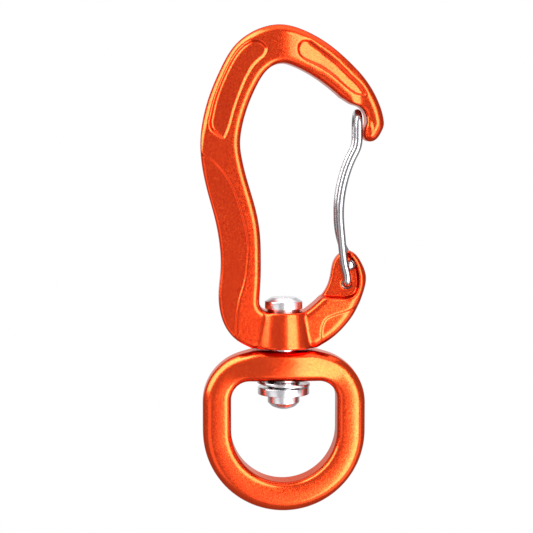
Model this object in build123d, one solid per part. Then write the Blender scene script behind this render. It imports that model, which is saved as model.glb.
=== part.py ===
from build123d import *
import os

os.makedirs("parts", exist_ok=True)

# Swivel carabiner keyring, in millimetres. Z is the swivel pin's line, up towards the bow.
# The origin is the point where that line meets the inside of the bow. The front faces -Y.

# ---- driving dimensions ----
FRAME_T = 7.4            # thickness of the carabiner frame, front to back
EDGE_R = 1.4             # rounding along the frame's edges
POCKET_DEPTH = 0.9       # the two decorative pockets in each face of the bow
SPINE_SCOOP = 0.5        # shallow scoop along the outer flank of the spine
ARM_SCOOP = 0.35         # shallow scoop on the lower arm
WEB_T = 3.3              # the thinned foot between the two wire legs

BOSS_TOP_Z = -48.4       # boss that carries the swivel pin
BOSS_BOTTOM_Z = -55.5
BOSS_TOP_R = 5.2
BOSS_BOTTOM_R = 6.15
BORE_GAP = 0.06          # radial running clearance on the pin

WIRE_D = 1.6             # gate wire
LEG_Y = 2.6              # half the distance between the two wire legs
WIRE_BEND_R = 1.2
WIRE_HOLE_D = 1.9
FRONT_END_Y = 1.4        # how far each leg's end reaches through the foot
REAR_END_Y = -1.24
GATE_X, GATE_Z = 12.3, -43.0      # lower wire hole, the line the gate turns about
REAR_X, REAR_Z = 12.95, -39.3     # upper wire hole, for the rear leg
CATCH_X, CATCH_Z = 14.36, -9.65   # top of the wire loop, in the hook of the nose
SPLIT_X, SPLIT_Z = 10.84, -30.4   # where the springy end of the rear leg begins

PIN_D = 6.3              # swivel pin
HEAD_D = 7.4
HEAD_BOTTOM_Z = -47.9
HEAD_RIM_Z = -46.5
HEAD_TOP_Z = -45.7
HEAD_FLAT_D = 5.2
NECK_D = 5.0
TAIL_RIM_Z = -66.6
TAIL_END_Z = -67.8

RING_TOP_Z = -56.3       # swivel ring
RING_HALF_W = 16.0
RING_CORNER_R = 10.2
RING_CENTRE_Z = -72.0
RING_DEPTH = 7.4         # swelling to the hub's depth round the pin
HUB_DEPTH = 9.8
HUB_HALF_W = 9.0
RING_OUTER_ROUND = 2.3
RING_INNER_ROUND = 1.1
OPEN_TOP_Z = -62.0
OPEN_HALF_W = 10.45
OPEN_CORNER_R = 3.7
OPEN_CENTRE_Z = -71.75

WASHER_D = 10.5          # loose thin washer under the ring
WASHER_BORE_D = 6.7
WASHER_T = 0.5
WASHER_Z = -62.71
WASHER_TILT = 3.5        # it lies askew in its gap, in degrees
COLLAR_D = 10.2          # thick washer held by the riveted pin end
COLLAR_TOP_Z = -63.42
COLLAR_BOTTOM_Z = -64.87


def at(x, z, y=0.0):
    return Vector(x, y, z)


def points(*pairs):
    return [at(x, z) for x, z in pairs]


def sink(body, region, depth, side):
    """Sinks region, a face in the XZ plane, into the front (side -1) or the back (side 1)."""
    floor_y = side * (FRAME_T / 2 - depth)
    return body - extrude(region.moved(Location((0, floor_y, 0))), amount=4.0, dir=(0, side, 0))


def sink_both(body, region, depth):
    return sink(sink(body, region, depth, -1), region, depth, 1)


def disc(radius, bottom_z, top_z):
    return Location((0, 0, bottom_z)) * Solid.make_cylinder(radius, top_z - bottom_z)


def shifted(line, y):
    return [p + Vector(0, y, 0) for p in line]


def bend(x, z, side):
    """Quarter turn out of a hole at (x, z) towards that side, then upwards."""
    inner = WIRE_BEND_R * (1 - 2 ** -0.5)
    return ThreePointArc(
        at(x, z, side * (LEG_Y - WIRE_BEND_R)), at(x, z + inner, side * (LEG_Y - inner)),
        at(x, z + WIRE_BEND_R, side * LEG_Y),
    )


def ring_outline(half_w, top_z, corner_r, centre_z):
    """Flat top, rounded corners, straight sides and a half-round bottom."""
    side_z = top_z - corner_r
    flat = half_w - corner_r
    return make_face(Wire([
        Line(at(-flat, top_z), at(flat, top_z)),
        TangentArc(at(flat, top_z), at(half_w, side_z), tangent=at(1, 0)),
        Line(at(half_w, side_z), at(half_w, centre_z)),
        TangentArc(at(half_w, centre_z), at(-half_w, centre_z), tangent=at(0, -1)),
        Line(at(-half_w, centre_z), at(-half_w, side_z)),
        TangentArc(at(-half_w, side_z), at(-flat, top_z), tangent=at(0, 1)),
    ]))


# ---- carabiner frame ----
# The outline runs from the nose over the bow and down the bent spine, along the bottom,
# up the arm to the foot, and back along the inside of the basket.
outer_bow = points(
    (19.4, -11.4), (18.1, -7.0), (15.7, -3.0), (12.3, 0.7), (8.4, 3.9), (4.0, 6.3),
    (-0.6, 7.45), (-5.7, 6.3), (-9.7, 3.3), (-12.3, -1.0), (-14.3, -5.6), (-15.7, -10.4),
    (-16.3, -15.4), (-15.9, -20.4), (-14.8, -25.4), (-13.5, -30.2), (-12.6, -35.2),
    (-12.4, -40.2), (-12.8, -45.3), (-12.0, -50.2), (-9.6, -53.6), (-6.3, BOSS_BOTTOM_Z),
)
outer_arm = points(
    (6.3, BOSS_BOTTOM_Z), (8.9, -54.0), (11.6, -51.6), (13.9, -48.5), (15.4, -45.0),
    (16.05, -41.5), (15.2, -38.9), (12.6, -36.5),
)
inner_arm = points(
    (12.6, -36.5), (10.3, -37.8), (9.1, -42.0), (8.0, -44.6), (6.2, -46.6),
    (4.0, BOSS_TOP_Z),
)
inner_bow = points(
    (-4.9, -46.4), (-4.7, -42.9), (-4.6, -37.9), (-4.8, -32.8), (-5.7, -27.9),
    (-7.1, -23.1), (-8.3, -18.2), (-8.6, -15.7), (-8.4, -13.2), (-7.1, -8.3),
    (-5.2, -4.0), (-3.6, -1.6), (-1.8, -0.3), (0.0, 0.0), (1.8, -0.5), (5.5, -2.4),
    (9.5, -5.3), (13.0, -8.7), (15.0, -11.6), (15.4, -13.2),
)
corner = at(-2.9, BOSS_TOP_Z)
outline = make_face(Wire([
    Spline(*outer_bow, tangents=[at(-0.1, 1.0), at(0.9, -0.45)]),
    Line(outer_bow[-1], outer_arm[0]),
    Spline(*outer_arm, tangents=[at(0.9, 0.45), at(-1.0, 0.0)]),
    Spline(*inner_arm, tangents=[at(-1.0, 0.0), at(-0.8, -0.6)]),
    Line(inner_arm[-1], corner),
    TangentArc(corner, inner_bow[0], tangent=at(-1.0, 0.0)),
    Spline(*inner_bow, tangents=[at(0.0, 1.0), at(0.0, -1.0)]),
    Spline(inner_bow[-1], at(17.0, -15.1), outer_bow[0], tangents=[at(0.0, -1.0), at(-0.1, 1.0)]),
]))
frame = extrude(outline, amount=FRAME_T / 2, dir=(0, 1, 0), both=True)
rims = [e for e in frame.edges() if abs(abs(e.center().Y) - FRAME_T / 2) < 0.01]
frame = frame.fillet(EDGE_R, rims)

# The hook inside the nose, where the wire loop catches.
hook = points(
    (11.4, -7.1), (13.3, -7.95), (14.5, -8.35), (15.4, -9.2), (15.95, -10.7), (15.9, -11.7),
    (15.35, -12.5),
)
hook_region = make_face(Wire([
    Spline(*hook), Line(hook[-1], at(14.0, -13.0)), Line(at(14.0, -13.0), at(10.5, -8.6)),
    Line(at(10.5, -8.6), hook[0]),
]))
frame -= extrude(hook_region, amount=FRAME_T, dir=(0, 1, 0), both=True)

# The flared boss, standing proud of both faces.
boss_height = BOSS_TOP_Z - BOSS_BOTTOM_Z
boss = Solid.make_cone(BOSS_BOTTOM_R, BOSS_TOP_R, boss_height)
boss_rims = boss.edges().filter_by(GeomType.CIRCLE)
boss = Location((0, 0, BOSS_BOTTOM_Z)) * boss.fillet(0.35, boss_rims)
frame += boss

# The recess in each face of the foot, where the wire legs lie. It is open to the basket,
# and at the back wider at the top, where the rear leg comes down to the upper hole.
rim_low = [(14.5, -41.6), (14.4, -43.6), (13.9, -44.8), (13.0, -45.4), (11.6, -45.6)]
rim_tops = {
    -1: [(12.6, -35.8), (12.95, -37.4), (13.6, -38.3), (14.2, -39.8)],
    1: [(14.3, -35.8), (14.3, -37.4), (14.4, -39.6)],
}
for side, rim_top in rim_tops.items():
    rim = points(*rim_top, *rim_low)
    recess = make_face(Wire([
        Spline(*rim), Line(rim[-1], at(7.0, -45.3)), Line(at(7.0, -45.3), at(7.0, -35.8)),
        Line(at(7.0, -35.8), rim[0]),
    ]))
    frame = sink(frame, recess, (FRAME_T - WEB_T) / 2, side)

# Pockets in the faces of the bow.
left_pocket = make_face(Wire([
    Spline(*points((-6.4, 4.2), (-8.0, 3.2), (-9.8, 1.1), (-11.8, -2.7), (-13.4, -6.8),
                   (-14.4, -11.2))),
    Spline(*points((-14.4, -11.2), (-14.2, -12.5), (-13.0, -13.8), (-11.7, -14.7))),
    Spline(*points((-11.7, -14.7), (-11.0, -13.4), (-9.8, -9.6), (-8.5, -5.8), (-7.0, -2.4),
                   (-5.4, -0.1), (-4.0, 1.1))),
    Spline(*points((-4.0, 1.1), (-3.4, 2.6), (-4.6, 4.0), (-6.4, 4.2))),
]))
right_pocket = make_face(Wire([
    Spline(*points((4.8, 4.2), (7.5, 2.2), (10.1, 0.2), (12.7, -2.4), (15.3, -5.2),
                   (15.8, -6.1))),
    Spline(*points((15.8, -6.1), (15.0, -6.4), (12.7, -5.6), (10.1, -3.4), (7.0, -1.1),
                   (4.1, 0.2))),
    Spline(*points((4.1, 0.2), (2.6, 1.5), (2.5, 3.2), (3.6, 4.3), (4.8, 4.2))),
]))
frame = sink_both(frame, left_pocket, POCKET_DEPTH)
frame = sink_both(frame, right_pocket, POCKET_DEPTH)

# Scoops on the outer flank of the spine and on the lower arm.
spine_crease = points(
    (-17.0, -17.3), (-15.5, -17.8), (-13.4, -19.3), (-11.6, -21.4), (-10.1, -24.0),
    (-8.8, -27.6), (-7.8, -31.2), (-7.2, -34.9), (-7.4, -38.8), (-8.0, -42.7), (-8.8, -45.3),
    (-9.3, -47.9), (-9.5, -50.3), (-9.3, -56.6),
)
spine_scoop = make_face(Wire([
    Spline(*spine_crease), Line(spine_crease[-1], at(-18.0, -56.6)),
    Line(at(-18.0, -56.6), spine_crease[0]),
]))
arm_crease = points(
    (7.3, -56.6), (7.2, -53.7), (7.3, -51.4), (8.2, -49.6), (9.6, -48.9), (11.6, -48.3),
    (15.5, -46.5),
)
arm_scoop = make_face(Wire([
    Spline(*arm_crease), Line(arm_crease[-1], at(16.5, -56.6)), Line(at(16.5, -56.6), arm_crease[0]),
]))
frame = sink_both(frame, spine_scoop, SPINE_SCOOP)
frame = sink_both(frame, arm_scoop, ARM_SCOOP)

# Holes for the wire and the pin.
for x, z in ((GATE_X, GATE_Z), (REAR_X, REAR_Z)):
    hole = Solid.make_cylinder(WIRE_HOLE_D / 2, 2 * FRAME_T, Plane(at(x, z, FRAME_T), z_dir=(0, -1, 0)))
    frame -= hole
frame -= disc(PIN_D / 2 + BORE_GAP, BOSS_BOTTOM_Z - 1, BOSS_TOP_Z + 1)
export_step(frame, "parts/carabiner_frame.step")

# ---- wire gate ----
# One bent wire: from the lower hole up the front, over the loop and down the back.
strand = points(
    (GATE_X, GATE_Z + WIRE_BEND_R), (11.95, -40.0), (11.5, -37.4), (11.05, -33.0),
    (SPLIT_X, SPLIT_Z), (10.83, -27.8), (11.3, -24.1), (12.1, -21.0), (13.35, -17.9),
    (14.1, -16.3), (CATCH_X, -14.6),
)
up, down, forward = at(0, 1), at(0, -1), at(0, 0, -1)
loop_z = CATCH_Z - LEG_Y
front = shifted(strand, -LEG_Y)
back = shifted(strand[4:], LEG_Y)[::-1]
gate_path = Wire([
    Line(at(GATE_X, GATE_Z, FRONT_END_Y), at(GATE_X, GATE_Z, WIRE_BEND_R - LEG_Y)),
    bend(GATE_X, GATE_Z, -1),
    Spline(*front, tangents=[up, up]),
    Line(front[-1], at(CATCH_X, loop_z, -LEG_Y)),
    ThreePointArc(at(CATCH_X, loop_z, -LEG_Y), at(CATCH_X, CATCH_Z), at(CATCH_X, loop_z, LEG_Y)),
    Line(at(CATCH_X, loop_z, LEG_Y), back[0]),
    Spline(*back, tangents=[down, at(0.02, -1.0)]),
])
wire_section = Plane(at(GATE_X, GATE_Z, FRONT_END_Y), z_dir=(0, -1, 0)) * Circle(WIRE_D / 2)
gate_wire = sweep(wire_section, path=gate_path)
export_step(gate_wire, "parts/gate_wire.step")

# The end of the rear leg sits in the upper hole and springs as the gate opens.
rear = shifted(points(
    (REAR_X, REAR_Z + WIRE_BEND_R), (12.4, -36.9), (11.6, -35.0), (11.1, -32.9),
    (SPLIT_X, SPLIT_Z),
), LEG_Y)
rear_path = Wire([
    Line(at(REAR_X, REAR_Z, REAR_END_Y), at(REAR_X, REAR_Z, LEG_Y - WIRE_BEND_R)),
    bend(REAR_X, REAR_Z, 1),
    Spline(*rear, tangents=[up, at(-0.02, 1.0)]),
])
rear_section = Plane(at(REAR_X, REAR_Z, REAR_END_Y), z_dir=(0, 1, 0)) * Circle(WIRE_D / 2)
rear_leg = sweep(rear_section, path=rear_path)
export_step(rear_leg, "parts/gate_wire_rear_leg.step")

# ---- swivel pin, with its head and riveted end ----
radius = PIN_D / 2
pin_profile = Polyline(*points(
    (0, HEAD_TOP_Z), (HEAD_FLAT_D / 2, HEAD_TOP_Z), (HEAD_D / 2, HEAD_RIM_Z),
    (HEAD_D / 2, HEAD_BOTTOM_Z), (radius, HEAD_BOTTOM_Z), (radius, COLLAR_TOP_Z),
    (NECK_D / 2, COLLAR_TOP_Z), (NECK_D / 2, COLLAR_BOTTOM_Z), (radius, COLLAR_BOTTOM_Z),
    (radius, TAIL_RIM_Z),
))
dome = ThreePointArc(at(radius, TAIL_RIM_Z), at(2.2, -67.4), at(1.0, TAIL_END_Z))
pin_section = make_face(Wire([
    *pin_profile.edges(), dome, Line(at(1.0, TAIL_END_Z), at(0, TAIL_END_Z)),
    Line(at(0, TAIL_END_Z), at(0, HEAD_TOP_Z)),
]))
pin = revolve(pin_section, axis=Axis.Z)
pin -= Location((0, 0, HEAD_TOP_Z)) * Solid.make_cylinder(0.25, 0.3).moved(Location((0, 0, -0.15)))
export_step(pin, "parts/swivel_pin.step")

# ---- swivel ring ----
outline = ring_outline(RING_HALF_W, RING_TOP_Z, RING_CORNER_R, RING_CENTRE_Z)
ring = extrude(outline, amount=RING_DEPTH / 2, dir=(0, 1, 0), both=True)
ring_rims = [e for e in ring.edges() if abs(abs(e.center().Y) - RING_DEPTH / 2) < 0.01]
ring = ring.fillet(RING_OUTER_ROUND, ring_rims)
opening = ring_outline(OPEN_HALF_W, OPEN_TOP_Z, OPEN_CORNER_R, OPEN_CENTRE_Z)
ring -= extrude(opening, amount=RING_DEPTH, dir=(0, 1, 0), both=True)
inner_rims = [
    e for e in ring.edges()
    if abs(abs(e.center().Y) - RING_DEPTH / 2) < 0.01 and abs(e.center().X) < OPEN_HALF_W + 0.01
    and OPEN_TOP_Z + 0.01 > e.center().Z > OPEN_CENTRE_Z - OPEN_HALF_W - 0.01
]
ring = ring.fillet(RING_INNER_ROUND, inner_rims)

# The hub, where the ring's top bar swells round the pin.
hub_y = HUB_DEPTH / 2
swell_y = RING_DEPTH / 2 - 1.6
hub_face = make_face(Wire([
    ThreePointArc((-HUB_HALF_W, -swell_y, 0), (0, -hub_y, 0), (HUB_HALF_W, -swell_y, 0)),
    Line((HUB_HALF_W, -swell_y, 0), (HUB_HALF_W, swell_y, 0)),
    ThreePointArc((HUB_HALF_W, swell_y, 0), (0, hub_y, 0), (-HUB_HALF_W, swell_y, 0)),
    Line((-HUB_HALF_W, swell_y, 0), (-HUB_HALF_W, -swell_y, 0)),
]))
hub_low_z, hub_high_z = OPEN_TOP_Z + 0.3, RING_TOP_Z - 0.7
hub = extrude(hub_face.moved(Location((0, 0, hub_low_z))), amount=hub_high_z - hub_low_z, dir=(0, 0, 1))
hub = hub.fillet(1.2, [e for e in hub.edges() if e.geom_type == GeomType.CIRCLE])
ring += hub
ring -= disc(PIN_D / 2 + BORE_GAP, OPEN_TOP_Z - 1, RING_TOP_Z + 1)
export_step(ring, "parts/swivel_ring.step")

# ---- washers ----
washer = disc(WASHER_D / 2, -WASHER_T / 2, WASHER_T / 2) - disc(WASHER_BORE_D / 2, -1, 1)
washer = Location((0, 0, WASHER_Z), (0, WASHER_TILT, 0)) * washer
export_step(washer, "parts/thin_washer.step")
collar = disc(COLLAR_D / 2, COLLAR_BOTTOM_Z, COLLAR_TOP_Z)
collar = collar.fillet(0.15, collar.edges().filter_by(GeomType.CIRCLE))
collar -= disc(NECK_D / 2 + 0.03, COLLAR_BOTTOM_Z - 1, COLLAR_TOP_Z + 1)
export_step(collar, "parts/collar_washer.step")
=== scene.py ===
"""Swivel carabiner keyring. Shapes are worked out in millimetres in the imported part's axes:
X towards the gate, Z up the swivel pin, front faces at -Y. Meshes are made in metres."""
import math

import bpy
import numpy as np
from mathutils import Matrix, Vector


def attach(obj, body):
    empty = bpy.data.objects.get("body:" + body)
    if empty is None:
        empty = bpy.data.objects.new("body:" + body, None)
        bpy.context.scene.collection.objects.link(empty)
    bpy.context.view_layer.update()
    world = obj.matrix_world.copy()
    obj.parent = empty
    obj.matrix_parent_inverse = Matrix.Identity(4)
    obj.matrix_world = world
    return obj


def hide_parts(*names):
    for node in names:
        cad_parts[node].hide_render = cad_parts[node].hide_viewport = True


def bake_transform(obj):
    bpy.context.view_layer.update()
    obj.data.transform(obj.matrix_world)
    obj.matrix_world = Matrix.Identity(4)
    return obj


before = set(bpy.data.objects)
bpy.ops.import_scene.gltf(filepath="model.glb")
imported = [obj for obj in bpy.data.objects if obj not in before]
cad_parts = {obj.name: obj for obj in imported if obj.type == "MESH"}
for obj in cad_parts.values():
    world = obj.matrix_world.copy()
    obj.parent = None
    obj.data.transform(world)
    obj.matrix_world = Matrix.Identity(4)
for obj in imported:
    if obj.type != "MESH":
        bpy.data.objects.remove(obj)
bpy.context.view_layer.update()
MM = 0.001

# ---------------------------------------------------------------- dimensions
GRID_STEP = 0.2  # of the fields that the frame and the ring are cut from

# the frame's thickness, the radius of its rims, and how that changes along the outer rim
FRAME_T, RIM_R, OUTER_RIM_EXTRA, SPINE_RIM_LESS = 7.4, 1.3, 0.55, 1.15
# each fall is how fast a face drops, and each step how deep a scoop or pocket starts
FACE_FALL, NOSE_FALL = 0.07, 0.088
CROWN_FALL, CROWN_HALF_W, CROWN_ROUND = 0.09, 7, 1.5
POCKET_STEP, POCKET_FALL, POCKET_WALL, POCKET_RIM = 0.35, 0.2, 0.85, 0.4
SPINE_STEP, SPINE_FALL, SPINE_CREASE = 0.28, 0.08, 0.2
ARM_STEP, ARM_FALL, ARM_CREASE = 0.22, -0.02, 0.14
WEB_T, FOOT_TILT, FOOT_WALL, FOOT_RIM = 3.3, 0.1, 0.1, 0.1
# where those shapes fade out, from the first value to the second
BOW_Z, CROWN_Z, NOSE_X, NOSE_Z = (-34, -12), (-6, 2), (13, 16), (-20, -12)
SPINE_RIM_REACH, MID_BAND = (-9, 1), (-2, 2)

BOSS_TOP_Z, BOSS_BOTTOM_Z = -48.4, -55.5
BOSS_TOP_R, BOSS_BOTTOM_R, BOSS_RIM_R = 5.2, 6.15, 0.4
WIRE_D, LEG_Y, WIRE_BEND_R, WIRE_HOLE_D = 1.6, 2.6, 1.2, 1.9
GATE_X, GATE_Z = 12.3, -43.0
REAR_X, REAR_Z = 12.95, -39.3
CATCH_X, CATCH_Z, CATCH_BEND_Z = 14.36, -9.65, -14.6
SPLIT_X, SPLIT_Z, REAR_FIXED_Z = 10.84, -30.4, -38.4

RING_TOP_Z, RING_HALF_W, RING_CORNER_R, RING_CENTRE_Z = -56.3, 16.0, 10.2, -72.0
OPEN_TOP_Z, OPEN_HALF_W, OPEN_CORNER_R, OPEN_CENTRE_Z = -62.0, 10.45, 3.7, -71.75
RING_DEPTH, RING_CROWN, RING_OUTER_R, RING_INNER_R = 7.4, 0.26, 2.0, 1.2
HUB_DEPTH, HUB_HALF_W, HUB_RISE, HUB_BLEND = 9.8, 9.0, 0.35, 0.8
HUB_Z, HUB_RISE_X, HUB_RISE_Z = (-64.5, -60.5), (-8.5, -4.5), (-60, -57)

PIN_R, BORE_R, BORE_REACH, NECK_R, CORNER_R = 3.15, 3.21, 9, 2.5, 0.05
HEAD_R, HEAD_BOTTOM_Z, HEAD_TOP_Z, HEAD_EDGE_Z = 3.7, -47.9, -45.7, -46.45
COLLAR_R, COLLAR_TOP_Z, COLLAR_BOTTOM_Z, COLLAR_GAP = 5.1, -63.42, -64.87, 0.03
PIN_END_Z = -67.8
WASHER_INNER_R, WASHER_R, WASHER_T, WASHER_TILT, WASHER_Z = 3.35, 5.25, 0.5, 3.5, -62.71


# ---------------------------------------------------------------- lines
def curve(points, start=None, end=None, step=0.3):
    """Points along a smooth line through the given ones, with end directions where given."""
    p = np.array(points, float)
    h = np.linalg.norm(np.diff(p, axis=0), axis=1)
    n = len(p)
    a, rhs = np.eye(n), np.zeros_like(p)
    for i in range(1, n - 1):
        a[i, i - 1 : i + 2] = h[i], 2 * (h[i - 1] + h[i]), h[i - 1]
        rhs[i] = 3 * (h[i] * (p[i] - p[i - 1]) / h[i - 1] + h[i - 1] * (p[i + 1] - p[i]) / h[i])
    if start is None:
        a[0, :2], rhs[0] = (2, 1), 3 * (p[1] - p[0]) / h[0]
    else:
        rhs[0] = np.array(start, float) / np.linalg.norm(start)
    if end is None:
        a[-1, -2:], rhs[-1] = (1, 2), 3 * (p[-1] - p[-2]) / h[-1]
    else:
        rhs[-1] = np.array(end, float) / np.linalg.norm(end)
    m = np.linalg.solve(a, rhs)
    out = []
    for i in range(n - 1):
        t = np.linspace(0, 1, max(3, int(h[i] / step) + 1), endpoint=False)[:, None]
        out.append(
            (1 + 2 * t) * (1 - t) ** 2 * p[i] + t * (1 - t) ** 2 * h[i] * m[i]
            + t * t * (3 - 2 * t) * p[i + 1] + t * t * (t - 1) * h[i] * m[i + 1]
        )
    return np.vstack(out + [p[-1:]])


def arc(centre, radius, start_deg, end_deg, step_deg=3.0):
    """Points on an arc from one angle to the other."""
    a = np.radians(np.linspace(start_deg, end_deg, int(abs(end_deg - start_deg) / step_deg) + 2))
    return np.column_stack([centre[0] + radius * np.cos(a), centre[1] + radius * np.sin(a)])


def close(*parts):
    """One closed line of all the parts, in order."""
    loop = np.vstack([np.array(p, float).reshape(-1, 2) for p in parts])
    return np.vstack([loop, loop[:1]])


def distance(line, x, z):
    """Distance from each grid point to a line of points."""
    a, d = line[:-1], np.diff(line, axis=0)
    keep = (d ** 2).sum(1) > 1e-12
    a, d = a[keep], d[keep]
    best = np.full(x.shape, 1e9)
    for k in range(0, len(a), 16):
        ax, az, dx, dz = (v[k : k + 16, None, None] for v in (a[:, 0], a[:, 1], d[:, 0], d[:, 1]))
        t = np.clip(((x - ax) * dx + (z - az) * dz) / (dx * dx + dz * dz), 0, 1)
        best = np.minimum(best, ((x - ax - t * dx) ** 2 + (z - az - t * dz) ** 2).min(0))
    return np.sqrt(best)


def inside(loop, x, z):
    """Which grid points a closed line goes round."""
    odd = np.zeros(x.shape, bool)
    for (x0, z0), (x1, z1) in zip(loop[:-1], loop[1:]):
        if z0 != z1:
            odd ^= ((z0 > z) != (z1 > z)) & (x < x0 + (z - z0) * (x1 - x0) / (z1 - z0))
    return odd


def signed(loop, x, z):
    """Signed distance to a closed line, negative inside."""
    return np.where(inside(loop, x, z), -1, 1) * distance(loop, x, z)


# ---------------------------------------------------------------- solids as fields
def union(a, b, k):
    """Either solid, the seam filled over a width of k."""
    return np.minimum(a, b) - k / 4 * np.maximum(0, 1 - np.abs(a - b) / k) ** 2


def common(a, b, k):
    """Where both solids are, the edge rounded over a width of k."""
    return np.maximum(a, b) + k / 4 * np.maximum(0, 1 - np.abs(a - b) / k) ** 2


def ramp(v, low, high):
    """0 at low, 1 at high and smooth between."""
    t = np.clip((v - low) / (high - low), 0, 1)
    return t * t * (3 - 2 * t)


def plate(d, half, r, y):
    """A plate with outline distance d and half thickness half, its rims rounded by r."""
    u, v = d + r, np.abs(y) - half + r
    return np.hypot(np.maximum(u, 0), np.maximum(v, 0)) + np.minimum(np.maximum(u, v), 0) - r


def flat(field):
    """A field of the XZ plane, made to hold at every y."""
    return field[:, None, :]


def bore(x, y, z, near_z):
    """The hole for the pin, as far as it reaches from near_z."""
    return np.maximum(np.hypot(x, y) - BORE_R, np.abs(z - near_z) - BORE_REACH)


def sample(field, p):
    """Trilinear values of a grid field at points given in cells."""
    i = np.clip(p.astype(int), 0, np.array(field.shape[:3]) - 2)
    f = p - i
    out = 0
    for dx in (0, 1):
        for dy in (0, 1):
            for dz in (0, 1):
                w = np.abs(1 - dx - f[:, 0]) * np.abs(1 - dy - f[:, 1]) * np.abs(1 - dz - f[:, 2])
                v = field[i[:, 0] + dx, i[:, 1] + dy, i[:, 2] + dz]
                out = out + (w * v if v.ndim == 1 else w[:, None] * v)
    return out


def surface(field):
    """Quads on the zero level of a grid field, in cells (surface nets)."""
    solid = field < 0
    corners = sum(
        solid[i : i - 1 or None, j : j - 1 or None, k : k - 1 or None].astype(np.int8)
        for i in (0, 1) for j in (0, 1) for k in (0, 1)
    )
    active = (corners > 0) & (corners < 8)
    number = np.full(active.shape, -1)
    number[active] = np.arange(active.sum())
    cells = np.argwhere(active)
    total, count = np.zeros((len(cells), 3)), np.zeros(len(cells))
    unit = np.eye(3, dtype=int)
    for axis in range(3):
        u, v = unit[(axis + 1) % 3], unit[(axis + 2) % 3]
        for shift in (0 * u, u, v, u + v):
            a = cells + shift
            b = a + unit[axis]
            fa, fb = field[tuple(a.T)], field[tuple(b.T)]
            cut = (fa < 0) != (fb < 0)
            t = fa[cut] / (fa[cut] - fb[cut])
            total[cut] += a[cut] + t[:, None] * unit[axis]
            count[cut] += 1
    points = total / count[:, None]
    quads = []
    for axis in range(3):
        u, v = unit[(axis + 1) % 3], unit[(axis + 2) % 3]
        low = solid[tuple(slice(0, -1) if k == axis else slice(1, -1) for k in range(3))]
        high = solid[tuple(slice(1, None) if k == axis else slice(1, -1) for k in range(3))]
        for here, turn in ((low & ~high, 1), (~low & high, -1)):
            e = np.argwhere(here) + u + v
            ring = [number[tuple((e - s).T)] for s in (u + v, v, 0 * u, u)]
            quads.append(np.column_stack(ring)[:, ::turn])
    return points, np.vstack(quads)


def field_mesh(name, build, low, high, step=GRID_STEP, passes=2):
    """A smooth mesh of the solid that build(x, y, z) describes by signed distances, in millimetres.

    Each pass evens the points' spacing out along the surface, and then two Newton steps bring
    them back onto it."""
    even_share, newton_share, least_slope = 0.5, 0.9, 0.02
    low = np.array(low, float)
    n = np.ceil((np.array(high) - low) / step).astype(int) + 1
    x, y, z = (low[k] + step * np.arange(n[k]) for k in range(3))
    field = build(x[:, None, None], y[None, :, None], z[None, None, :]).astype(np.float32)
    points, quads = surface(field)
    slope = np.stack(np.gradient(field), -1)
    neighbours = np.vstack([quads[:, [0, 1]], quads[:, [1, 2]], quads[:, [2, 3]], quads[:, [3, 0]]])
    for k in range(passes + 1):
        if k:
            mean = np.zeros_like(points)
            count = np.bincount(neighbours[:, 0], minlength=len(points))
            for c in range(3):
                mean[:, c] = np.bincount(neighbours[:, 0], points[neighbours[:, 1], c], len(points))
            g = sample(slope, points)
            g /= np.maximum(np.linalg.norm(g, axis=1, keepdims=True), 1e-9)
            move = mean / count[:, None] - points
            points = points + even_share * (move - (move * g).sum(1, keepdims=True) * g)
        for _ in range(2):
            g = sample(slope, points)
            f = sample(field, points)[:, None] / np.maximum((g * g).sum(1, keepdims=True), least_slope)
            points = points - np.clip(f, -1, 1) * g * newton_share
    return make_mesh(name, low + points * step, quads)


def make_mesh(name, points, faces):
    """A smooth-shaded object of those points, given in millimetres."""
    mesh = bpy.data.meshes.new(name)
    mesh.from_pydata((np.asarray(points, float) * MM).tolist(), [], [list(map(int, f)) for f in faces])
    mesh.polygons.foreach_set("use_smooth", [True] * len(mesh.polygons))
    mesh.update()
    piece = bpy.data.objects.new(name, mesh)
    bpy.context.scene.collection.objects.link(piece)
    return piece


# ---------------------------------------------------------------- carabiner frame, lines in XZ
outer_bow = curve([
    (19.4, -11.4), (18.1, -7.0), (15.7, -3.0), (12.3, 0.7), (8.4, 3.9), (4.0, 6.3),
    (-0.6, 7.45), (-5.7, 6.3), (-9.7, 3.3), (-12.3, -1.0), (-14.3, -5.6), (-15.7, -10.4),
    (-16.3, -15.4), (-15.9, -20.4), (-14.8, -25.4), (-13.5, -30.2), (-12.6, -35.2),
    (-12.4, -40.2), (-12.8, -45.3), (-12.0, -50.2), (-9.6, -53.6), (-6.3, BOSS_BOTTOM_Z),
], start=(-0.1, 1.0), end=(0.9, -0.45))
outer_arm = curve([
    (6.3, BOSS_BOTTOM_Z), (8.9, -54.0), (11.6, -51.6), (13.9, -48.5), (15.4, -45.0),
    (16.05, -41.5), (15.2, -38.9), (12.6, -36.5),
], start=(0.9, 0.45), end=(-1.0, 0.0))
inner_arm = curve([
    (12.6, -36.5), (10.3, -37.8), (9.1, -42.0), (8.0, -44.6), (6.2, -46.6), (4.0, BOSS_TOP_Z),
], start=(-1.0, 0.0), end=(-0.8, -0.6))
inner_corner = arc((-2.9, -46.4), 2.0, 270, 180)
inner_bow = curve([
    (-4.9, -46.4), (-4.7, -42.9), (-4.6, -37.9), (-4.8, -32.8), (-5.7, -27.9),
    (-7.1, -23.1), (-8.3, -18.2), (-8.6, -15.7), (-8.4, -13.2), (-7.1, -8.3),
    (-5.2, -4.0), (-3.6, -1.6), (-1.8, -0.3), (0.0, 0.0), (1.8, -0.5), (5.5, -2.4),
    (9.5, -5.3), (13.0, -8.7), (15.0, -11.6), (15.4, -13.2),
], start=(0.0, 1.0), end=(0.0, -1.0))
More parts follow.
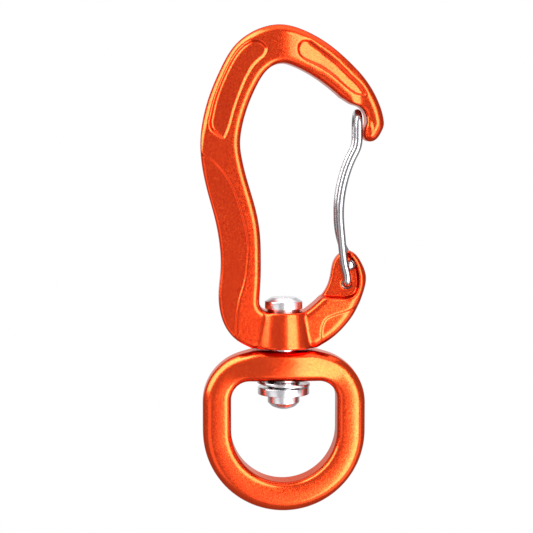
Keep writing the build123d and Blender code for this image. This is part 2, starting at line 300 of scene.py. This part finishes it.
nose_tip = curve([
    (15.4, -13.2), (15.5, -14.4), (16.4, -15.12), (17.7, -14.85), (18.85, -13.35), (19.4, -11.4),
], start=(0.0, -1.0), end=(-0.1, 1.0))
hook_notch = close(
    curve([
        (11.4, -7.1), (13.3, -7.95), (14.5, -8.35), (15.4, -9.2), (15.95, -10.7), (15.9, -11.7),
        (15.35, -12.5),
    ]),
    [(14.0, -13.0), (10.5, -8.6)],
)
recess_low = [(14.5, -41.6), (14.4, -43.6), (13.9, -44.8), (13.0, -45.4), (11.6, -45.6)]
recess_open = [(7.0, -45.3), (7.0, -35.8)]  # past the foot's inner side
front_recess = close(
    curve([(12.6, -35.8), (12.95, -37.4), (13.6, -38.3), (14.2, -39.8)] + recess_low), recess_open,
)
back_recess = close(
    curve([(14.3, -35.8), (14.3, -37.4), (14.4, -39.6)] + recess_low), recess_open,
)
left_pocket = close(
    curve([(-6.4, 4.2), (-8.0, 3.2), (-9.8, 1.1), (-11.8, -2.7), (-13.4, -6.8), (-14.4, -11.2)]),
    curve([(-14.4, -11.2), (-14.2, -12.5), (-13.0, -13.8), (-11.7, -14.7)]),
    curve([
        (-11.7, -14.7), (-11.0, -13.4), (-9.8, -9.6), (-8.5, -5.8), (-7.0, -2.4), (-5.4, -0.1),
        (-4.0, 1.1),
    ]),
    curve([(-4.0, 1.1), (-3.4, 2.6), (-4.6, 4.0), (-6.4, 4.2)]),
)
right_pocket = close(
    curve([(4.8, 4.2), (7.5, 2.2), (10.1, 0.2), (12.7, -2.4), (15.3, -5.2), (15.8, -6.1)]),
    curve([(15.8, -6.1), (15.0, -6.4), (12.7, -5.6), (10.1, -3.4), (7.0, -1.1), (4.1, 0.2)]),
    curve([(4.1, 0.2), (2.6, 1.5), (2.5, 3.2), (3.6, 4.3), (4.8, 4.2)]),
)
spine_crease = curve([
    (-17.0, -17.3), (-15.5, -17.8), (-13.4, -19.3), (-11.6, -21.4), (-10.1, -24.0),
    (-8.8, -27.6), (-7.8, -31.2), (-7.2, -34.9), (-7.4, -38.8), (-8.0, -42.7), (-8.8, -45.3),
    (-9.3, -47.9), (-9.5, -50.3), (-9.3, -56.6),
])
spine_scoop = close(spine_crease, [(-18.0, -56.6), (-18.0, -17.3)])
arm_crease = curve([
    (7.3, -56.6), (7.2, -53.7), (7.3, -51.4), (8.2, -49.6), (9.6, -48.9), (11.6, -48.3),
    (15.5, -46.5),
])
arm_scoop = close(arm_crease, [(17.5, -46.5), (17.5, -56.6)])


def half_thickness(gx, gz, to_outer, to_inner, spine, arm):
    """Half the frame's thickness, and the same for the floor of a pocket there."""
    near = np.minimum(to_inner, 12.0)  # further out than that, the faces are level again
    nose = ramp(gx, *NOSE_X)
    aside = np.clip(gx, -CROWN_HALF_W, CROWN_HALF_W)
    crown = CROWN_FALL * (np.hypot(aside, CROWN_ROUND) - CROWN_ROUND) * ramp(gz, *CROWN_Z)
    # the bow's faces fall away towards the outer rim, and the nose's towards the inner one
    half = FRAME_T / 2 - FACE_FALL * np.maximum(near - 1.5, 0) * ramp(gz, *BOW_Z) * (1 - nose)
    half = half - crown
    half = half - NOSE_FALL * np.maximum(to_outer - 0.8, 0) ** 2 * nose * ramp(gz, *NOSE_Z)
    # the scoops along the spine and on the arm
    in_spine = ramp(spine, -SPINE_CREASE, SPINE_CREASE)
    in_arm = ramp(arm, -ARM_CREASE, ARM_CREASE)
    half = half - in_spine * (SPINE_STEP + SPINE_FALL * np.maximum(spine, 0))
    half = half - in_arm * (ARM_STEP + ARM_FALL * np.maximum(arm, 0))
    floor_half = FRAME_T / 2 - crown - POCKET_STEP - POCKET_FALL * (near - 2.0)
    return half, floor_half


def boss_cone(x, y, z):
    """The tapered boss that the pin runs through."""
    height = BOSS_TOP_Z - BOSS_BOTTOM_Z
    radius = BOSS_BOTTOM_R + (BOSS_TOP_R - BOSS_BOTTOM_R) * (z - BOSS_BOTTOM_Z) / height
    u = np.hypot(x, y) - radius + BOSS_RIM_R
    v = np.abs(z - (BOSS_TOP_Z + BOSS_BOTTOM_Z) / 2) - height / 2 + BOSS_RIM_R
    return np.hypot(np.maximum(u, 0), np.maximum(v, 0)) + np.minimum(np.maximum(u, v), 0) - BOSS_RIM_R


def carabiner(x, y, z):
    """The whole frame, as a signed distance."""
    gx, gz = np.broadcast_arrays(x[:, 0], z[:, 0])
    outer = np.vstack([nose_tip, outer_bow])
    bottom = np.vstack([outer_bow[-1:], outer_arm[:1]])
    inner = np.vstack([inner_arm, inner_corner, inner_bow])
    to_outer = np.minimum(distance(outer, gx, gz), distance(outer_arm, gx, gz))
    to_inner = distance(inner, gx, gz)
    edge = np.minimum(np.minimum(to_outer, to_inner), distance(bottom, gx, gz))
    loop = close(outer_bow, outer_arm, inner_arm, inner_corner, inner_bow, nose_tip)
    d = np.where(inside(loop, gx, gz), -1, 1) * edge
    spine = -signed(spine_scoop, gx, gz)
    arm = -signed(arm_scoop, gx, gz)
    # the outer rim is rounder than the inner one, and sharper beside the spine's scoop
    lean = ramp(to_inner - to_outer, *MID_BAND)
    r = RIM_R + lean * (OUTER_RIM_EXTRA - SPINE_RIM_LESS * ramp(spine, *SPINE_RIM_REACH))
    half, floor_half = half_thickness(gx, gz, to_outer, to_inner, spine, arm)
    body = plate(flat(d), flat(half), flat(r), y)
    body = common(body, -flat(signed(hook_notch, gx, gz)) + 0 * y, 0.8)
    # pockets, with sloped walls; their floors drop towards the outer rim
    for pocket in (left_pocket, right_pocket):
        p = flat(signed(pocket, gx, gz))
        above = np.abs(y) - flat(floor_half)
        wall = (p + POCKET_RIM - POCKET_WALL * above) / math.hypot(1, POCKET_WALL)
        hollow = common(wall, -above, 0.25)
        body = common(body, -hollow, 0.15)
    # the foot, thinned where the wire legs lie; only the front recess tilts
    for region, side in ((front_recess, -1), (back_recess, 1)):
        p = flat(signed(region, gx, gz))
        above = side * y - WEB_T / 2 - (side < 0) * FOOT_TILT * (x - GATE_X)
        wall = (p + FOOT_RIM - FOOT_WALL * above) / math.hypot(1, FOOT_WALL)
        hollow = common(wall, -above, 0.5)
        body = common(body, -hollow, 0.6)
    body = union(body, boss_cone(x, y, z), 0.35)
    body = common(body, -bore(x, y, z, BOSS_TOP_Z), 0.25)
    for hx, hz in ((GATE_X, GATE_Z), (REAR_X, REAR_Z)):
        body = common(body, WIRE_HOLE_D / 2 - np.hypot(x - hx, z - hz) + 0 * y, 0.2)
    return body


carabiner_piece = field_mesh("carabiner_body", carabiner, (-17, -6.6, -56.2), (20.2, 6.6, 8.2))


# ---------------------------------------------------------------- swivel ring
def ring_loop(half_w, top_z, corner_r, centre_z):
    """A D on its back: a flat top, round corners and a half circle below."""
    side_z, corner_x = top_z - corner_r, half_w - corner_r
    return close(
        arc((corner_x, side_z), corner_r, 90, 0), arc((0, centre_z), half_w, 0, -180, 2.0),
        arc((-corner_x, side_z), corner_r, 180, 90),
    )


def swivel_ring(x, y, z):
    """The whole ring, as a signed distance."""
    gx, gz = np.broadcast_arrays(x[:, 0], z[:, 0])
    outside = signed(ring_loop(RING_HALF_W, RING_TOP_Z, RING_CORNER_R, RING_CENTRE_Z), gx, gz)
    opening = signed(ring_loop(OPEN_HALF_W, OPEN_TOP_Z, OPEN_CORNER_R, OPEN_CENTRE_Z), gx, gz)
    outside = outside - HUB_RISE * ramp(-np.abs(gx), *HUB_RISE_X) * ramp(gz, *HUB_RISE_Z)
    # from 1 at the outer rim to -1 at the opening
    across = (opening + outside) / np.maximum(opening - outside, 1.0)
    half = RING_DEPTH / 2 - RING_CROWN * np.minimum(across ** 2, 1.5)
    # a hub swells round the pin
    hub = (HUB_DEPTH - RING_DEPTH) / 2 * (1 - (gx / HUB_HALF_W) ** 2)
    half = half - ramp(gz, *HUB_Z) * union(-hub, 0 * hub, HUB_BLEND)
    body = np.maximum(
        plate(flat(outside), flat(half), RING_OUTER_R, y),
        plate(-flat(opening), flat(half), RING_INNER_R, y),
    )
    return common(body, -bore(x, y, z, OPEN_TOP_Z), 0.25)


ring_piece = field_mesh("ring_body", swivel_ring, (-16.6, -5.1, -88.6), (16.6, 5.1, -55.7))


# ---------------------------------------------------------------- turned pieces
def rounded(corners):
    """A profile whose corners (r, z, radius) are rounded, apart from the first and the last."""
    most_of_edge = 0.49
    out = []
    for k, (r, z, radius) in enumerate(corners):
        p = np.array([r, z], float)
        if not radius or k in (0, len(corners) - 1):
            out.append([p])
            continue
        a = np.array(corners[k - 1][:2], float) - p
        b = np.array(corners[k + 1][:2], float) - p
        la, lb = np.linalg.norm(a), np.linalg.norm(b)
        a, b = a / la, b / lb
        half = math.acos(np.clip(a @ b, -1, 1)) / 2
        reach = min(radius / math.tan(half), most_of_edge * la, most_of_edge * lb)
        s, e = p + a * reach, p + b * reach
        t = np.linspace(0, 1, 6)[:, None]
        out.append((1 - t) ** 2 * s + 2 * t * (1 - t) * p + t * t * e)
    return np.vstack([np.vstack(o) for o in out])


def lathe(name, corners, sides=120, tilt_deg=0.0, lift=0.0, ring=False):
    """A turned piece about Z. A ring's profile is a closed line, another one is capped at its ends."""
    profile = rounded(corners)
    a = np.linspace(0, 2 * math.pi, sides, endpoint=False)
    n = len(profile)
    points = np.stack([
        profile[:, 0, None] * np.cos(a), profile[:, 0, None] * np.sin(a),
        np.repeat(profile[:, 1, None], sides, 1),
    ], -1).reshape(-1, 3)
    faces = []
    for i in range(n if ring else n - 1):
        j = (i + 1) % n
        for k in range(sides):
            m = (k + 1) % sides
            faces.append((i * sides + k, i * sides + m, j * sides + m, j * sides + k))
    if not ring:
        low_end, high_end = len(points), len(points) + 1
        points = np.vstack([points, [0, 0, profile[0, 1]], [0, 0, profile[-1, 1]]])
        for k in range(sides):
            m = (k + 1) % sides
            faces.append((low_end, m, k))
            faces.append((high_end, (n - 1) * sides + k, (n - 1) * sides + m))
    t = math.radians(tilt_deg)
    turn = np.array([[math.cos(t), 0, math.sin(t)], [0, 1, 0], [-math.sin(t), 0, math.cos(t)]])
    return make_mesh(name, points @ turn.T + [0, 0, lift], faces)


# profiles run upwards; the head's top has a small centre mark, and the end is domed
pin_piece = lathe("pin_body", [
    (0.05, PIN_END_Z, 0), (1.05, PIN_END_Z, 0.5), (2.3, PIN_END_Z + 0.45, 1.2),
    (PIN_R, PIN_END_Z + 1.3, 0.35), (PIN_R, COLLAR_BOTTOM_Z - COLLAR_GAP, 0.12),
    (NECK_R, COLLAR_BOTTOM_Z, CORNER_R), (NECK_R, COLLAR_TOP_Z, CORNER_R),
    (PIN_R, COLLAR_TOP_Z + 0.02, CORNER_R), (PIN_R, HEAD_BOTTOM_Z, CORNER_R),
    (HEAD_R, HEAD_BOTTOM_Z, 0.12), (HEAD_R, HEAD_EDGE_Z, 0.22),
    (2.5, HEAD_TOP_Z, 0.25), (0.3, HEAD_TOP_Z - 0.02, 0.08),
    (0.2, HEAD_TOP_Z - 0.28, 0.05), (0.03, HEAD_TOP_Z - 0.3, 0),
])
collar_piece = lathe("collar_body", [
    (NECK_R + COLLAR_GAP, COLLAR_BOTTOM_Z, 0), (COLLAR_R, COLLAR_BOTTOM_Z, 0.16),
    (COLLAR_R, COLLAR_TOP_Z, 0.16), (NECK_R + COLLAR_GAP, COLLAR_TOP_Z, 0),
], ring=True)
washer_piece = lathe("washer_body", [
    (WASHER_INNER_R, -WASHER_T / 2, 0), (WASHER_R, -WASHER_T / 2, 0.1),
    (WASHER_R, WASHER_T / 2, 0.1), (WASHER_INNER_R, WASHER_T / 2, 0),
], ring=True, tilt_deg=WASHER_TILT, lift=WASHER_Z)


# ---------------------------------------------------------------- wire gate
def tube(name, path, sides=48):
    """A wire along a path. Its first end is slightly domed and its last one open."""
    dome = [(0.0, 0.35), (0.02, 0.75), (0.06, 0.93), (0.14, 1.0)]  # (inset, share of the radius)
    path = np.array(path, float)
    heading = np.gradient(path, axis=0)
    heading /= np.linalg.norm(heading, axis=1, keepdims=True)
    across = np.cross(heading[0], [0.3, 0.1, 0.95])
    a = np.linspace(0, 2 * math.pi, sides, endpoint=False)
    rings = []
    for k, (centre, t) in enumerate(zip(path, heading)):
        across = across - (across @ t) * t
        across /= np.linalg.norm(across)
        circle = np.cos(a)[:, None] * across + np.sin(a)[:, None] * np.cross(t, across)
        for inset, share in dome if k == 0 else [(0.0, 1.0)]:
            rings.append(centre + t * inset + share * WIRE_D / 2 * circle)
    faces = [
        (i + k, i + (k + 1) % sides, i + sides + (k + 1) % sides, i + sides + k)
        for i in range(0, (len(rings) - 1) * sides, sides) for k in range(sides)
    ]
    faces.append(tuple(range(sides))[::-1])
    return make_mesh(name, np.vstack(rings), faces)


def bend(x, z, side):
    """Quarter turn out of a hole at (x, z) towards that side, then upwards."""
    a = np.radians(np.linspace(0, 90, 9))[1:-1]
    y = side * (LEG_Y - WIRE_BEND_R + WIRE_BEND_R * np.sin(a))
    return np.column_stack([np.full(len(a), x), y, z + WIRE_BEND_R * (1 - np.cos(a))])


def along(line, y):
    """A line of the XZ plane, at that y."""
    return np.column_stack([line[:, 0], np.full(len(line), y), line[:, 1]])


def out_of_hole(x, z, side, end_y):
    """The wire from its end inside the foot to where it has turned upwards."""
    straight = [(x, y, z) for y in np.linspace(end_y, side * (LEG_Y - WIRE_BEND_R), 8)]
    return np.vstack([straight, bend(x, z, side)])


# the two legs share one line above the split; the loop over the nose is a half circle
leg_below = [(GATE_X, GATE_Z + WIRE_BEND_R), (11.95, -40.0), (11.5, -37.4), (11.05, -33.0)]
leg_above = [
    (SPLIT_X, SPLIT_Z), (10.83, -27.8), (11.3, -24.1), (12.1, -21.0), (13.35, -17.9),
    (14.1, -16.3), (CATCH_X, CATCH_BEND_Z),
]
up, split_heading = (0, 1), (-0.02, 1.0)
front_leg = curve(leg_below + leg_above, start=up, end=up, step=0.2)
back_leg = curve(leg_above, start=split_heading, end=up, step=0.2)
loop_z = CATCH_Z - LEG_Y
to_loop = np.linspace(CATCH_BEND_Z + 0.35, loop_z - 0.3, 5)
turn = np.radians(np.linspace(180, 0, 25))
gate_path = np.vstack([
    out_of_hole(GATE_X, GATE_Z, -1, 1.4), along(front_leg, -LEG_Y),
    [(CATCH_X, -LEG_Y, z) for z in to_loop],
    np.column_stack([np.full(len(turn), CATCH_X), LEG_Y * np.cos(turn), loop_z + LEG_Y * np.sin(turn)]),
    [(CATCH_X, LEG_Y, z) for z in to_loop[::-1]],
    along(back_leg[::-1], LEG_Y),
])
rear_line = curve([
    (REAR_X, REAR_Z + WIRE_BEND_R), (12.4, -36.9), (11.6, -35.0), (11.1, -32.9), (SPLIT_X, SPLIT_Z),
], start=up, end=split_heading, step=0.2)
rear_path = np.vstack([out_of_hole(REAR_X, REAR_Z, 1, -1.24), along(rear_line, LEG_Y)])
gate_piece = tube("gate_wire_body", gate_path)
rear_piece = tube("gate_wire_rear", rear_path)


# ---------------------------------------------------------------- materials
# noise cells in a metre, and the height of the bumps in metres
ANODISED_GRAIN, ANODISED_CLOUD = 3400, 160
STEEL_GRAIN, STEEL_SMUDGE, TURNING_MARKS = 2600, 420, 5200
ANODISED_BUMP, STEEL_BUMP = 0.00006, 0.00003


def nodes_of(name):
    """A new material, its node tree and its Principled shader."""
    m = bpy.data.materials.new(name)
    m.use_nodes = True
    tree = m.node_tree
    shader = tree.nodes["Principled BSDF"]
    return m, tree, shader


def add(tree, kind, **settings):
    """A new node. A setting is an input's value where it has that name, otherwise a property."""
    n = tree.nodes.new(kind)
    for k, v in settings.items():
        if k in n.inputs:
            n.inputs[k].default_value = v
        else:
            setattr(n, k, v)
    return n


def noise(tree, where, scale, detail, roughness=0.55):
    n = add(tree, "ShaderNodeTexNoise", Scale=scale, Detail=detail, Roughness=roughness)
    tree.links.new(where, n.inputs["Vector"])
    return n.outputs["Fac"]


def mapped(tree, value, low, high, to_low, to_high):
    """The value, with low to high stretched to to_low to to_high."""
    n = add(tree, "ShaderNodeMapRange")
    for k, v in zip(("From Min", "From Max", "To Min", "To Max"), (low, high, to_low, to_high)):
        n.inputs[k].default_value = v
    tree.links.new(value, n.inputs["Value"])
    return n.outputs["Result"]


def mixed(tree, share, a, b):
    """Colour a, turning to b as the share goes from 0 to 1. Either is a colour or a socket."""
    n = add(tree, "ShaderNodeMix", data_type="RGBA")
    tree.links.new(share, n.inputs["Factor"])
    for socket, v in ((n.inputs[6], a), (n.inputs[7], b)):  # the node's two colours
        if isinstance(v, tuple):
            socket.default_value = (*v, 1.0)
        else:
            tree.links.new(v, socket)
    return n.outputs[2]


def object_place(tree, shift):
    """The place on the object, shifted so that no two materials have the same pattern."""
    n = add(tree, "ShaderNodeVectorMath", operation="ADD")
    tree.links.new(add(tree, "ShaderNodeTexCoord").outputs["Object"], n.inputs[0])
    n.inputs[1].default_value = shift
    return n.outputs["Vector"]


def anodised(name, deep, light, seed):
    """Anodised metal with fine grain between the two colours, and soft darker clouds."""
    m, tree, shader = nodes_of(name)
    where = object_place(tree, (seed, 0.37 * seed, 0.71 * seed))
    grain = noise(tree, where, ANODISED_GRAIN, 2.0, 0.6)
    cloud = noise(tree, where, ANODISED_CLOUD, 2.0)
    colour = mixed(tree, mapped(tree, grain, 0.28, 0.74, 0, 1), deep, light)
    clouded = tuple(0.82 * v for v in deep)
    colour = mixed(tree, mapped(tree, cloud, 0.35, 0.7, 0.0, 0.22), colour, clouded)
    tree.links.new(colour, shader.inputs["Base Color"])
    shader.inputs["Metallic"].default_value = 1.0
    tree.links.new(mapped(tree, grain, 0.3, 0.7, 0.17, 0.27), shader.inputs["Roughness"])
    shader.inputs["Specular Tint"].default_value = (0.7, 0.42, 0.34, 1.0)
    shader.inputs["Coat Weight"].default_value = 0.15
    shader.inputs["Coat Roughness"].default_value = 0.16
    bump = add(tree, "ShaderNodeBump", Strength=0.24, Distance=ANODISED_BUMP)
    tree.links.new(grain, bump.inputs["Height"])
    tree.links.new(bump.outputs["Normal"], shader.inputs["Normal"])
    return m


def steel(name, colour, rough, bands=0.0, seed=0.0):
    """Polished steel with faint grain, and turning marks round Z where bands is above 0."""
    m, tree, shader = nodes_of(name)
    where = object_place(tree, (seed, seed, seed))
    smudge = noise(tree, where, STEEL_SMUDGE, 2.0)
    dark = tuple(0.86 * v for v in colour)
    smudged = mixed(tree, mapped(tree, smudge, 0.35, 0.7, 0, 1), colour, dark)
    tree.links.new(smudged, shader.inputs["Base Color"])
    shader.inputs["Metallic"].default_value = 1.0
    tree.links.new(mapped(tree, smudge, 0.3, 0.7, rough * 0.8, rough * 1.3), shader.inputs["Roughness"])
    if bands:
        squeeze = add(tree, "ShaderNodeMapping")
        squeeze.inputs["Scale"].default_value = (0.05, 0.05, 1.0)
        tree.links.new(where, squeeze.inputs["Vector"])
        height = noise(tree, squeeze.outputs["Vector"], TURNING_MARKS, 2.0)
    else:
        height = noise(tree, where, STEEL_GRAIN, 3.0)
    bump = add(tree, "ShaderNodeBump", Strength=0.03 + 0.27 * bands, Distance=STEEL_BUMP)
    tree.links.new(height, bump.inputs["Height"])
    tree.links.new(bump.outputs["Normal"], shader.inputs["Normal"])
    return m


orange = anodised("orange_anodised", (0.61, 0.0235, 0.0032), (0.72, 0.066, 0.0095), 0.0)
orange_ring = anodised("orange_anodised_ring", (0.62, 0.029, 0.004), (0.71, 0.072, 0.0105), 3.1)
wire_steel = steel("wire_steel", (0.27, 0.266, 0.278), 0.2, seed=1.7)
pin_steel = steel("pin_steel", (0.53, 0.518, 0.536), 0.26, bands=1.0, seed=2.3)
washer_steel = steel("washer_steel", (0.52, 0.508, 0.526), 0.22, bands=0.7, seed=4.9)

for piece, material, body, node, slot in (
    (carabiner_piece, orange, "carabiner", "carabiner_frame", "frame_anodised"),
    (ring_piece, orange_ring, "ring", "swivel_ring", "ring_anodised"),
    (pin_piece, pin_steel, "pin", "swivel_pin", "pin_steel"),
    (collar_piece, washer_steel, "pin", "collar_washer", "washer_steel"),
    (washer_piece, washer_steel, "washer", "thin_washer", "washer_steel"),
    (gate_piece, wire_steel, "gate", "gate_wire", "gate_steel"),
):
    piece.data.materials.append(material)
    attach(piece, body)
    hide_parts(node)
rear_piece.data.materials.append(wire_steel)
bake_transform(rear_piece)
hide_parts("gate_wire_rear_leg")


# ---------------------------------------------------------------- studio
LOOK_AT = Vector((-3.382, 0.0, -39.628)) * MM  # the point in the middle of the picture
CAMERA_AZIMUTH, CAMERA_ELEVATION, CAMERA_DISTANCE = -3, 5, 0.3144  # degrees and metres
SENSOR_W, LENS = 36, 108.0675
FLOOR_SIDES = 64
# the floor's profile in metres from the middle: (r, z)
FLOOR_PROFILE = [
    (0.0, -0.105), (0.6, -0.105), (1.2, -0.08), (1.6, 0.1),
    (1.8, 0.6), (1.7, 1.6), (1.0, 2.2), (0.0, 2.4),
]


def towards(azimuth_deg, elevation_deg):
    """The direction from the object to what stands there: azimuth 0 is -Y and 90 is +X."""
    a, e = math.radians(azimuth_deg), math.radians(elevation_deg)
    return Vector((math.sin(a) * math.cos(e), -math.cos(a) * math.cos(e), math.sin(e)))


def softbox(name, azimuth_deg, elevation_deg, wide_deg, high_deg, radiance, distance=0.8):
    """A softbox in that direction, that many degrees wide and high and that bright."""
    out = towards(azimuth_deg, elevation_deg)
    light = bpy.data.lights.new(name, "AREA")
    light.shape = "RECTANGLE"
    light.size = 2 * distance * math.tan(math.radians(wide_deg / 2))
    light.size_y = 2 * distance * math.tan(math.radians(high_deg / 2))
    light.energy = math.pi * light.size * light.size_y * radiance
    o = bpy.data.objects.new(name, light)
    o.location = LOOK_AT + out * distance
    o.rotation_euler = (-out).to_track_quat("-Z", "Y").to_euler()
    o.visible_camera = False
    scene.collection.objects.link(o)


# the world is brighter in front (-Y) than at the sides, and it glows behind, above the horizon
scene = bpy.context.scene
world = bpy.data.worlds.new("studio")
world.use_nodes = True
tree = world.node_tree
direction = add(tree, "ShaderNodeSeparateXYZ")
tree.links.new(add(tree, "ShaderNodeTexCoord").outputs["Generated"], direction.inputs[0])
total = add(tree, "ShaderNodeMath", operation="ADD")
tree.links.new(mapped(tree, direction.outputs["Y"], -0.7, 0.0, 0.8, 0.56), total.inputs[0])
behind = add(tree, "ShaderNodeMath", operation="MULTIPLY")
tree.links.new(mapped(tree, direction.outputs["Y"], 0.6, 0.95, 0.0, 0.7), behind.inputs[0])
tree.links.new(mapped(tree, direction.outputs["Z"], -0.25, 0.05, 0.1, 1.0), behind.inputs[1])
tree.links.new(behind.outputs[0], total.inputs[1])
tree.links.new(total.outputs[0], tree.nodes["Background"].inputs["Strength"])
tree.nodes["Background"].inputs["Color"].default_value = (1, 1, 1, 1)
scene.world = world

# a pale floor that curves up into a wall and a ceiling all round, seen by the camera only
sweep_points = [
    (r * math.cos(a) / MM, r * math.sin(a) / MM, z / MM)
    for r, z in FLOOR_PROFILE for a in np.linspace(0, 2 * math.pi, FLOOR_SIDES, endpoint=False)
]
sweep_faces = [
    (i + k, i + (k + 1) % FLOOR_SIDES, i + FLOOR_SIDES + (k + 1) % FLOOR_SIDES, i + FLOOR_SIDES + k)
    for i in range(0, (len(FLOOR_PROFILE) - 1) * FLOOR_SIDES, FLOOR_SIDES) for k in range(FLOOR_SIDES)
]
sweep = make_mesh("floor", sweep_points, sweep_faces)
white = bpy.data.materials.new("white_sweep")
white.use_nodes = True
white.node_tree.nodes.remove(white.node_tree.nodes["Principled BSDF"])
glow = add(white.node_tree, "ShaderNodeEmission", Color=(1, 1, 1, 1), Strength=1.0)
output = white.node_tree.nodes["Material Output"]
white.node_tree.links.new(glow.outputs["Emission"], output.inputs["Surface"])
sweep.data.materials.append(white)
for rays in ("diffuse", "glossy", "transmission", "volume_scatter", "shadow"):
    setattr(sweep, "visible_" + rays, False)

# azimuth, elevation, width and height in degrees, radiance and, where it is near, distance
softbox("key", 32.2, 1, 38, 84, 11.4, 0.2)
softbox("strip_left", -84, 37, 46, 66, 12.6, 0.4)
softbox("left", -50, -24, 34, 40, 0.93)
softbox("low", 42, -37, 80, 46, 1.33, 0.4)
softbox("top", 0, 97, 80, 60, 2.0)

camera_data = bpy.data.cameras.new("camera")
camera = bpy.data.objects.new("camera", camera_data)
scene.collection.objects.link(camera)
camera_data.sensor_width = SENSOR_W
camera_data.lens = LENS
camera_data.clip_start, camera_data.clip_end = 0.01, 20
back = towards(CAMERA_AZIMUTH, CAMERA_ELEVATION)
camera.location = LOOK_AT + back * CAMERA_DISTANCE
camera.rotation_euler = (-back).to_track_quat("-Z", "Y").to_euler()
scene.camera = camera
scene.view_settings.view_transform = "Standard"
